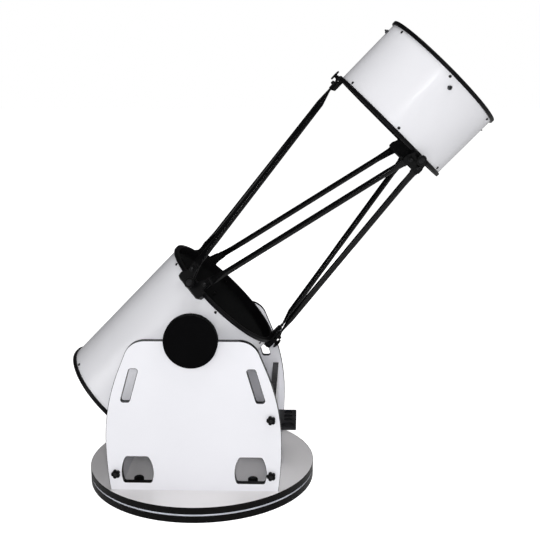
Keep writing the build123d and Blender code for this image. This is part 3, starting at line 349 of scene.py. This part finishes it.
class Skin:
    """Mesh in the row frame made of skins stretched over rings of points."""

    def __init__(self):
        self.points = []
        self.faces = []

    def ring(self, centre, side, aside, radius, steps, outline=None):
        """Adds a ring of points in the plane of side and aside, and returns their numbers."""
        first = len(self.points)
        for step in range(steps):
            angle = 2 * math.pi * step / steps
            reach = radius * (outline(angle) if outline else 1)
            self.points.append(centre + side * math.cos(angle) * reach + aside * math.sin(angle) * reach)
        return list(range(first, first + steps))

    def join(self, lower, upper):
        """Stretches a band of faces from one ring to the next."""
        steps = len(lower)
        for step in range(steps):
            ahead = (step + 1) % steps
            self.faces.append((lower[step], lower[ahead], upper[ahead], upper[step]))

    def turned(self, place, axis, rings, steps=36, side=None):
        """Adds a shape turned about an axis, from (radius, height) or (radius, height, outline) in mm."""
        axis = axis.normalized()
        side = (side or axis.orthogonal()).normalized()
        aside = axis.cross(side)
        loops = []
        for radius, height, *outline in rings:
            centre = place + axis * height * MM
            loops.append(self.ring(centre, side, aside, radius * MM, steps, *outline))
        for lower, upper in zip(loops, loops[1:]):
            self.join(lower, upper)
        self.faces.append(tuple(reversed(loops[0])))
        self.faces.append(tuple(loops[-1]))

    def hoop(self, place, axis, rings, steps=48):
        """Adds a closed hoop about an axis whose section is the (radius, height) points in mm."""
        axis = axis.normalized()
        side = axis.orthogonal().normalized()
        aside = axis.cross(side)
        loops = []
        for radius, height in rings:
            loops.append(self.ring(place + axis * height * MM, side, aside, radius * MM, steps))
        for lower, upper in zip(loops, loops[1:] + loops[:1]):
            self.join(lower, upper)

    def wire(self, path, radius, steps=10):
        """Adds a round wire of radius mm along a path of points."""
        loops = []
        for index, point in enumerate(path):
            ahead = path[min(index + 1, len(path) - 1)] - path[max(index - 1, 0)]
            side = ahead.cross(tube_up + tube_dir * 0.31).normalized()
            loops.append(self.ring(point, side, ahead.normalized().cross(side), radius * MM, steps))
        for lower, upper in zip(loops, loops[1:]):
            self.join(lower, upper)
        self.faces.append(tuple(reversed(loops[0])))
        self.faces.append(tuple(loops[-1]))

    def piece(self, name, body, slot, material=None):
        """Makes the object, with its material, riding on a body."""
        sharp_from = math.radians(32)
        mesh = bpy.data.meshes.new(name)
        mesh.from_pydata([tuple(point) for point in self.points], [], self.faces)
        shell = bmesh.new()
        shell.from_mesh(mesh)
        bmesh.ops.recalc_face_normals(shell, faces=shell.faces)
        shell.to_mesh(mesh)
        shell.free()
        mesh.shade_smooth()
        mesh.set_sharp_from_angle(angle=sharp_from)
        made = bpy.data.objects.new(name, mesh)
        bpy.context.scene.collection.objects.link(made)
        mesh.materials.append(material or materials[slot])
        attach(made, body)
        return made


# --------------------------------------------------------------------------------- places read from the CAD
def outward(angle):
    """Direction away from the tube's axis: 0 is left and 90 is the upper side."""
    return leftward * math.cos(math.radians(angle)) + tube_up * math.sin(math.radians(angle))


def on_tube(along, angle, radius):
    """A point from its distance along the tube from the altitude axis, its angle and its radius, in mm."""
    return altitude + tube_dir * along * MM + outward(angle) * radius * MM


def islands(node):
    """Corner points of each separate solid of a CAD node."""
    shell = bmesh.new()
    shell.from_mesh(frame["nodes"][node].data)
    bmesh.ops.remove_doubles(shell, verts=shell.verts, dist=0.01 * MM)
    shell.verts.index_update()
    seen = set()
    groups = []
    for start in shell.verts:
        if start.index in seen:
            continue
        seen.add(start.index)
        waiting = [start]
        group = []
        while waiting:
            vert = waiting.pop()
            group.append(vert.co.copy())
            for link in vert.link_edges:
                other = link.other_vert(vert)
                if other.index not in seen:
                    seen.add(other.index)
                    waiting.append(other)
        groups.append(group)
    shell.free()
    return groups


def end_of(group, axis):
    """Middle of the end face of a solid, the face farthest along an axis."""
    reach = max(point.dot(axis) for point in group)
    rim = [point for point in group if reach - point.dot(axis) < 0.02 * MM]
    low = Vector([min(point[i] for point in rim) for i in range(3)])
    high = Vector([max(point[i] for point in rim) for i in range(3)])
    return (low + high) / 2


def from_axis(point):
    """Direction from the tube's axis to a point, and its distance in mm."""
    away = point - altitude
    away = away - tube_dir * away.dot(tube_dir)
    return away.normalized(), away.length / MM


def along_tube(point):
    """Distance of a point along the tube from the altitude axis, in mm."""
    return (point - altitude).dot(tube_dir) / MM


def corners_of(node):
    """Corner points of a whole CAD node."""
    return [vert.co for vert in frame["nodes"][node].data.vertices]


def height_of(node, seat, axis):
    """Distance in mm from a seat to the far end of a CAD node."""
    return max((point - seat).dot(axis) for point in corners_of(node)) / MM


def middle_of(group):
    """Average of a solid's corner points."""
    return sum(group, Vector()) / len(group)


# --------------------------------------------------------------------------------------------- small pieces
def truss_knob_pieces():
    """Scalloped hand knobs with pressed metal caps in place of the plain CAD discs."""
    rim = lobes(14, 0.07)
    for number in range(1, 7):
        node = f"truss_knob_{number}"
        joint = joints[f"truss_knob_turn_{number}"]
        seat = Vector(joint["pos_m"])
        axis = Vector(joint["axis"]).normalized()
        top = height_of(node, seat, axis)
        knob = Skin()
        knob.turned(seat, axis, [
            (3, -6), (3, 0.1), (8, 0.1), (8, 1.4), (7.2, 2.2), (6.5, 3.2), (6.5, top - 8.4),
            (7.2, top - 7.4), (9, top - 6.6), (17.2, top - 6.6, rim), (18.5, top - 6.1, rim),
            (19, top - 5.2, rim),
            (19, top - 2, rim), (18.4, top - 1, rim), (17.2, top - 0.4, rim), (12.4, top), (11.4, top - 0.3),
            (11.2, top - 1.4), (3, top - 1.4),
        ], steps=112)
        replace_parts(knob.piece(f"knob_body_{number}", node, "knob_black"), node)
        cap = Skin()
        cap.turned(seat, axis, [
            (11, top - 1.3), (11, top - 0.5), (10.4, top - 0.1), (8.6, top + 0.2), (8, top - 0.2),
            (4.2, top - 0.2), (3.9, top + 0.4), (2.4, top + 0.5), (2, top + 0.1),
        ])
        cap.piece(f"knob_cap_{number}", node, "steel_zinc", cap_metal)


def side_knob_pieces():
    """Five-lobed knobs with domed tops and metal inserts, in place of the straight CAD ones."""
    knobs = Skin()
    inserts = Skin()
    forward = Vector((1, 0, 0))
    star = lobes(5, 0.36, math.pi)
    for group in islands("side_knobs"):
        axis = Vector((0, 1 if middle_of(group).y > 0 else -1, 0))
        top = end_of(group, axis)
        knobs.turned(top, axis, [
            (3, -70), (3, -16), (8, -16), (8, -14), (15.6, -14, star), (16.4, -13, star), (16.5, -6, star),
            (16, -3.6, star), (14.6, -1.6, star), (12, -0.4, star), (8, 0), (6.4, -0.2), (6, -1), (2, -1),
        ], steps=100, side=forward)
        inserts.turned(top, axis, [
            (5.9, -0.9), (5.9, -0.3), (5.3, 0.1), (3.2, 0.1, hexagon), (3, -0.8, hexagon),
        ], side=forward)
    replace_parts(knobs.piece("star_knobs", "rocker", "knob_black"), "side_knobs")
    inserts.piece("star_knob_inserts", "rocker", "steel_black")


def bracket_knob_pieces():
    """Fluted hand knobs that hold the angle brackets down, in place of the straight CAD ones."""
    knobs = Skin()
    flutes = lobes(9, 0.12)
    knob_height = 25.5
    for group in islands("bracket_knobs"):
        seat = end_of(group, upward) - upward * knob_height * MM
        knobs.turned(seat, upward, [
            (3, -24), (3, 0), (9, 0), (9, 5), (11, 6.6), (17, 8, flutes), (18, 9.4, flutes),
            (18, 20, flutes), (17, 22.6, flutes), (14.5, 24.6, flutes), (10, 25.4), (6, knob_height),
            (5.2, 24.7), (2, 24.7),
        ], steps=108)
    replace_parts(knobs.piece("fluted_knobs", "rocker", "knob_black"), "bracket_knobs")


def bolt_sockets():
    """Hexagon sockets on the pole bolts and on the screws that show on the tube."""
    bolts = Skin()
    bracket_ways = [outward(angle) for angle in range(30, 360, 60)]
    for group in islands("pole_bolts"):
        away = from_axis(middle_of(group))[0]
        direction = max(bracket_ways, key=away.dot)
        bolts.turned(end_of(group, direction), direction, [
            (5.9, -0.1), (5.9, 1.2), (5.3, 1.8), (3.7, 1.8), (3.5, 1.6, hexagon), (3.4, 0.2, hexagon),
            (1, 0.15),
        ])
    bolts.piece("pole_bolt_sockets", "tube", "steel_black")
    screws = Skin()
    for group in islands("tube_screws"):
        axis = from_axis(middle_of(group))[0]
        top = end_of(group, axis)
        if from_axis(top)[1] > tube_outer:
            screws.turned(top, axis, [
                (3.3, -0.7), (3, 0.1), (2.5, 0.4), (1.7, 0.4), (1.6, 0.3, hexagon), (1.5, 0.05, hexagon),
            ], steps=24)
    screws.piece("tube_screw_sockets", "tube", "steel_black")


def rack_rims():
    """Rounded rims round the wells of the eyepiece rack."""
    rack_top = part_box("eyepiece_rack")[1][2]
    mount = next(mount for mount in frame["record"]["mounts"] if mount["name"] == "rack_well")
    row = mount["pos_m"][0]
    small, large = 16, 25.7
    rims = Skin()
    for aside, radius in ((-8, small), (30, small), (68, small), (-64, large)):
        rims.hoop(Vector((row, aside * MM, rack_top)), upward, [
            (radius - 0.1, -3), (radius - 0.1, 0.3), (radius + 0.5, 0.8), (radius + 1.3, 0.8),
            (radius + 1.9, -0.1),
        ])
    rims.piece("rack_rims", "rocker", "rack_grey")


def collimation_caps():
    """Dome nuts in the middle of the collimation knobs."""
    for number in (1, 2, 3):
        joint = joints[f"collimation_turn_{number}"]
        axis = Vector(joint["axis"]).normalized()
        node = f"collimation_knob_{number}"
        seat = Vector(joint["pos_m"])
        top = height_of(node, seat, axis)
        cap = Skin()
        cap.turned(seat, axis, [
            (8, top - 0.1), (8, top + 0.6), (6.6, top + 0.8), (6.6, top + 0.8, hexagon),
            (6.6, top + 4, hexagon), (5.4, top + 4.6), (4.6, top + 6.6), (2.6, top + 8), (0.6, top + 8.4),
        ])
        cap.piece(f"collimation_cap_{number}", node, "steel_zinc")


def focus_trims():
    """Metal faces and centre screws of a coarse focus knob and the fine one."""
    shaft = islands("focus_shaft")[0]
    coarse = Skin()
    coarse.turned(end_of(shaft, -tube_dir), -tube_dir, [
        (16, -0.1), (16, 0.5), (15, 0.9), (11, 0.9), (10.4, 0.4), (5, 0.4), (5, 1.6), (4.4, 2),
        (2.6, 2, hexagon), (2.5, 0.7, hexagon),
    ])
    coarse.piece("focus_knob_trim", "focus_shaft", "drawtube_chrome")
    fine = Skin()
    fine.turned(end_of(islands("fine_focus_knob")[0], tube_dir), tube_dir, [
        (8.6, -0.1), (8.6, 0.4), (8, 0.8), (3, 0.8), (2.8, 1.3), (1.6, 1.3, hexagon), (1.5, 0.3, hexagon),
    ])
    fine.piece("fine_knob_trim", "fine_focus_knob", "fine_knob")


def drawtube_screws():
    """Knurled thumb screws in the drawtube's collar, which hold an eyepiece."""
    axis = Vector(joints["drawtube_slide"]["axis"]).normalized()
    below_rim = 9
    collar_radius = 32.6
    collar = end_of(islands("focus_drawtube")[0], axis) - axis * below_rim * MM
    around = axis.cross(tube_dir)
    screws = Skin()
    knurl = lobes(24, 0.05)
    for turn in (-130, -50):
        way = tube_dir * math.cos(math.radians(turn)) + around * math.sin(math.radians(turn))
        screws.turned(collar + way * collar_radius * MM, way, [
            (1.6, 0), (1.6, 5), (4.2, 5.2), (5, 6, knurl), (5, 11, knurl), (4.4, 11.8), (2, 12),
        ], steps=96)
    screws.piece("eyepiece_screws", "focus_drawtube", "drawtube_chrome")


def spider_screws():
    """Knurled screws on the spider's hub that tilt the secondary mirror, and the cap between them."""
    hub_radius = 21
    screw_circle = 12
    hub = [point for point in corners_of("spider") if from_axis(point)[1] < hub_radius]
    front = max(along_tube(point) for point in hub)
    screws = Skin()
    knurl = lobes(18, 0.06)
    for turn in (0, 120, 240):
        screws.turned(on_tube(front, turn, screw_circle), tube_dir, [
            (3, 0.1), (3, 0.8), (4.4, 1.2, knurl), (4.4, 5.4, knurl), (3.6, 6.2), (1.7, 6.3),
        ], steps=72)
    screws.turned(on_tube(front, 0, 0), tube_dir, [
        (5, -0.1), (5, 1.2), (4.4, 1.8), (4, 2), (2.4, 2, hexagon), (2.2, 0.4, hexagon),
    ])
    screws.piece("secondary_screws", "tube", "steel_black")


def mirror_mark():
    """Small ring stuck to the middle of the main mirror."""
    glass = frame["nodes"]["primary_mirror"]
    place = glass.ray_cast(altitude, -tube_dir)[1]
    mark = Skin()
    mark.hoop(place, tube_dir, [(3.5, 0.02), (3.5, 0.2), (6.5, 0.25), (6.5, 0.03)])
    mark.piece("mirror_mark", "tube", "edging_black")


def fan_guard():
    """Wire guard behind the fan, and the fan's cable that runs along the cell to a socket on the rim."""
    guard_gap = 1.6
    guard_wire = 0.9
    cable_radius = 1.8
    back = min(along_tube(point) for point in corners_of("fan_frame")) - guard_gap
    guard = Skin()
    for radius in (12, 22, 32, 42):
        guard.wire([on_tube(back, turn, radius) for turn in range(0, 361, 10)], guard_wire)
    for turn in (45, 135, 225, 315):
        spoke = [on_tube(back - 0.8, turn, 10), on_tube(back - 0.8, turn, 44), on_tube(back + 1.2, turn, 57)]
        guard.wire(spoke, guard_wire)
    guard.piece("fan_guard", "tube", "steel_zinc")
    cable = Skin()
    path = [
        on_tube(back + 8, 268, 46), on_tube(back + 6, 266, 58), on_tube(back + 14, 264, 80),
        on_tube(back + 22, 266, 110), on_tube(back + 20, 270, 150), on_tube(back + 20, 271, 190),
        on_tube(back + 18, 270, 212),
    ]
    cable.wire(path, cable_radius, steps=12)
    cable.piece("fan_cable", "tube", "edging_black")
    socket = Skin()
    socket.turned(on_tube(back + 16, 270, 219), -tube_dir, [
        (8, -14), (8, 0), (7.2, 0.8), (5, 0.8), (4.8, 0), (4.8, -6), (1.4, -6), (1.4, 0), (0.6, 0.4),
    ])
    socket.piece("fan_socket", "tube", "fan_black")


def tube_seams():
    """Riveted lap seam of each rolled tube, on the hidden lower side."""
    end_gap = 14
    rivet_pitch = 45
    rivet_seat = 238.6
    for node, name in (("lower_tube", "lower_seam"), ("upper_tube", "upper_seam")):
        reach = [along_tube(point) for point in corners_of(node)]
        rear = min(reach) + end_gap
        front = max(reach) - end_gap
        seam = Skin()
        strip = ((-2.4, 237.8), (-2.2, 238.7), (2.2, 238.7), (2.4, 237.8))
        loops = []
        for along in (rear, front):
            first = len(seam.points)
            seam.points += [on_tube(along, seam_angle + angle, radius) for angle, radius in strip]
            loops.append(list(range(first, first + len(strip))))
        seam.join(*loops)
        seam.faces += [tuple(loops[0]), tuple(reversed(loops[1]))]
        count = round((front - rear) / rivet_pitch)
        for step in range(count):
            along = rear + (front - rear) * (step + 0.5) / count
            seam.turned(on_tube(along, seam_angle, rivet_seat), outward(seam_angle), [
                (3.4, 0), (3.2, 0.7), (2.4, 1.3), (1, 1.6),
            ], steps=20)
        seam.piece(name, "tube", "tube_white")


def finder_details():
    """Brightness knob and adjusting screws of the red-dot finder."""
    points = corners_of("finder")
    axis = from_axis(middle_of(points))[0]
    aside = axis.cross(tube_dir).normalized()
    rear = altitude + tube_dir * min(along_tube(point) for point in points) * MM
    knob_along, knob_level, body_half = 16, 261, 10
    screw_level = 268
    knob = Skin()
    knurl = lobes(20, 0.06)
    knob_seat = rear + tube_dir * knob_along * MM + axis * knob_level * MM + aside * (body_half * MM)
    knob.turned(knob_seat, aside, [
        (6, -0.2), (6.4, 0.6, knurl), (6.4, 5, knurl), (5.6, 5.8), (2, 5.9),
    ], steps=80)
    knob.piece("finder_knob", "tube", "finder_black")
    screws = Skin()
    for along in (12, 60):
        screws.turned(rear + tube_dir * along * MM + axis * screw_level * MM, axis, [
            (3, -0.2), (3, 1), (2.6, 1.6), (1.5, 1.6, hexagon), (1.4, 0.2, hexagon),
        ], steps=24)
    screws.piece("finder_screws", "tube", "steel_zinc")


truss_knob_pieces()
side_knob_pieces()
bracket_knob_pieces()
bolt_sockets()
rack_rims()
collimation_caps()
focus_trims()
drawtube_screws()
spider_screws()
mirror_mark()
fan_guard()
tube_seams()
finder_details()


# -------------------------------------------------------------------------------------- floor, light, camera
def studio_floor():
    """Plain floor, white to the camera up to the horizon, that throws a little light upwards."""
    half_side = 30
    mesh = bpy.data.meshes.new("studio_floor")
    corners = [(x * half_side, y * half_side, 0) for x, y in ((-1, -1), (1, -1), (1, 1), (-1, 1))]
    mesh.from_pydata(corners, [], [(0, 1, 2, 3)])
    floor = bpy.data.objects.new("studio_floor", mesh)
    bpy.context.scene.collection.objects.link(floor)
    surface = Surface("studio_floor", (0.6, 0.6, 0.6), 0.9, specular=0.0)
    surface.uneven(0.01, 2, 0.9)
    path = surface.node("ShaderNodeLightPath").outputs
    to_matt, to_glossy, to_camera = 0.34, 0.05, 0.95
    bounced = surface.spread(path["Is Glossy Ray"], 0, 1, to_matt, to_glossy)
    glow = surface.spread(path["Is Camera Ray"], 0, 1, bounced, to_camera)
    surface.set(Emission_Color=(1, 1, 1, 1), Emission_Strength=glow)
    floor.data.materials.append(surface.material)


def softbox(name, place, width, height, power, mirrored=True):
    """Rectangular lamp aimed at the object; one that isn't mirrored leaves no bright patch on gloss."""
    middle = Vector((0.15, 0, 0.85))
    light = bpy.data.lights.new(name, "AREA")
    light.shape = "RECTANGLE"
    light.size = width
    light.size_y = height
    light.energy = power
    lamp = bpy.data.objects.new(name, light)
    lamp.location = place
    lamp.visible_glossy = mirrored
    lamp.rotation_mode = "QUATERNION"
    lamp.rotation_quaternion = (middle - Vector(place)).to_track_quat("-Z", "Y")
    bpy.context.scene.collection.objects.link(lamp)


def studio_world():
    """White to the eye of the camera, soft grey to matt surfaces and dark to reflections."""
    to_matt, to_glossy, to_camera = 0.24, 0.04, 1.0
    world = bpy.data.worlds.new("studio")
    world.use_nodes = True
    tree = world.node_tree
    backdrop = tree.nodes["Background"]
    backdrop.inputs["Color"].default_value = (1, 1, 1, 1)
    path = tree.nodes.new("ShaderNodeLightPath")
    glossy = tree.nodes.new("ShaderNodeMapRange")
    glossy.inputs["To Min"].default_value = to_matt
    glossy.inputs["To Max"].default_value = to_glossy
    tree.links.new(path.outputs["Is Glossy Ray"], glossy.inputs["Value"])
    seen = tree.nodes.new("ShaderNodeMapRange")
    seen.inputs["To Max"].default_value = to_camera
    tree.links.new(path.outputs["Is Camera Ray"], seen.inputs["Value"])
    tree.links.new(glossy.outputs[0], seen.inputs["To Min"])
    tree.links.new(seen.outputs[0], backdrop.inputs["Strength"])
    bpy.context.scene.world = world


def photo_camera():
    """Camera a little above the middle of the object, looking along +Y and slightly down."""
    place = Vector((0.3782, -3.3690, 1.5439))
    yaw, pitch, roll = -0.0343, -0.2162, -0.0023
    forward = Vector((math.sin(yaw) * math.cos(pitch), math.cos(yaw) * math.cos(pitch), math.sin(pitch)))
    level = Vector((math.cos(yaw), -math.sin(yaw), 0))
    upright = level.cross(forward)
    right = level * math.cos(roll) + upright * math.sin(roll)
    up = upright * math.cos(roll) - level * math.sin(roll)
    camera = bpy.data.objects.new("camera", bpy.data.cameras.new("camera"))
    axes = Matrix((right, up, -forward)).transposed()
    camera.matrix_world = Matrix.Translation(place) @ axes.to_4x4()
    camera.data.sensor_width = 36
    camera.data.lens = 62.45
    camera.data.shift_x = -0.0007
    camera.data.shift_y = 0.0010
    camera.data.clip_end = 100
    bpy.context.scene.collection.objects.link(camera)
    bpy.context.scene.camera = camera


studio_floor()
studio_world()
softbox("flash", (0.5, -3.9, 2.15), 0.3, 0.3, 7)
softbox("camera_lamp", (0.38, -3.5, 1.6), 0.4, 0.4, 46, mirrored=False)
softbox("front_softbox", (-1.2, -4.3, 1.7), 1.6, 1.6, 18, mirrored=False)
softbox("left_softbox", (-3.8, -2.4, 1.5), 1.6, 1.6, 19)
softbox("right_softbox", (4.2, -0.9, 1.2), 1.4, 1.4, 9, mirrored=False)
softbox("top_softbox", (1.3, -0.8, 4.3), 2.0, 2.0, 54)
softbox("back_softbox", (0.6, 4.6, 1.0), 2.4, 1.8, 27, mirrored=False)
photo_camera()
bpy.context.scene.view_settings.view_transform = "Standard"
